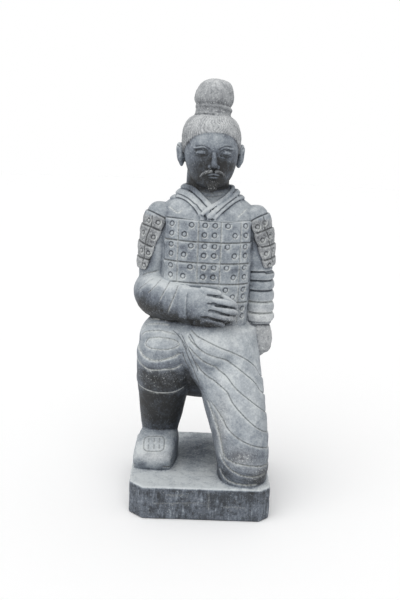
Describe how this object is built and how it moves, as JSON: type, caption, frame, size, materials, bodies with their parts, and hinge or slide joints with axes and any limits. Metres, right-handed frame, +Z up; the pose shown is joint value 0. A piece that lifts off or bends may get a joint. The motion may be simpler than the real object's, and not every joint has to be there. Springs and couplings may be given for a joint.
{
  "type": "kneeling warrior statue",
  "caption": "Grey stone garden statue of a kneeling warrior in plate armour, hair in a topknot, carved with its low base from one block.",
  "frame": {"origin": "middle of the figure's width and of the base's depth, on the underside of the base", "axes": "+Z up to the topknot, -Y the way the figure faces, +X towards the figure's left hand"},
  "size_m": [0.3393, 0.36, 1.0037],
  "materials": {
    "stone": "hand carved and rubbed, chalky on top and in the cuts"
  },
  "bodies": {
    "root": {"warrior_statue": "stone"}
  },
  "joints": []
}
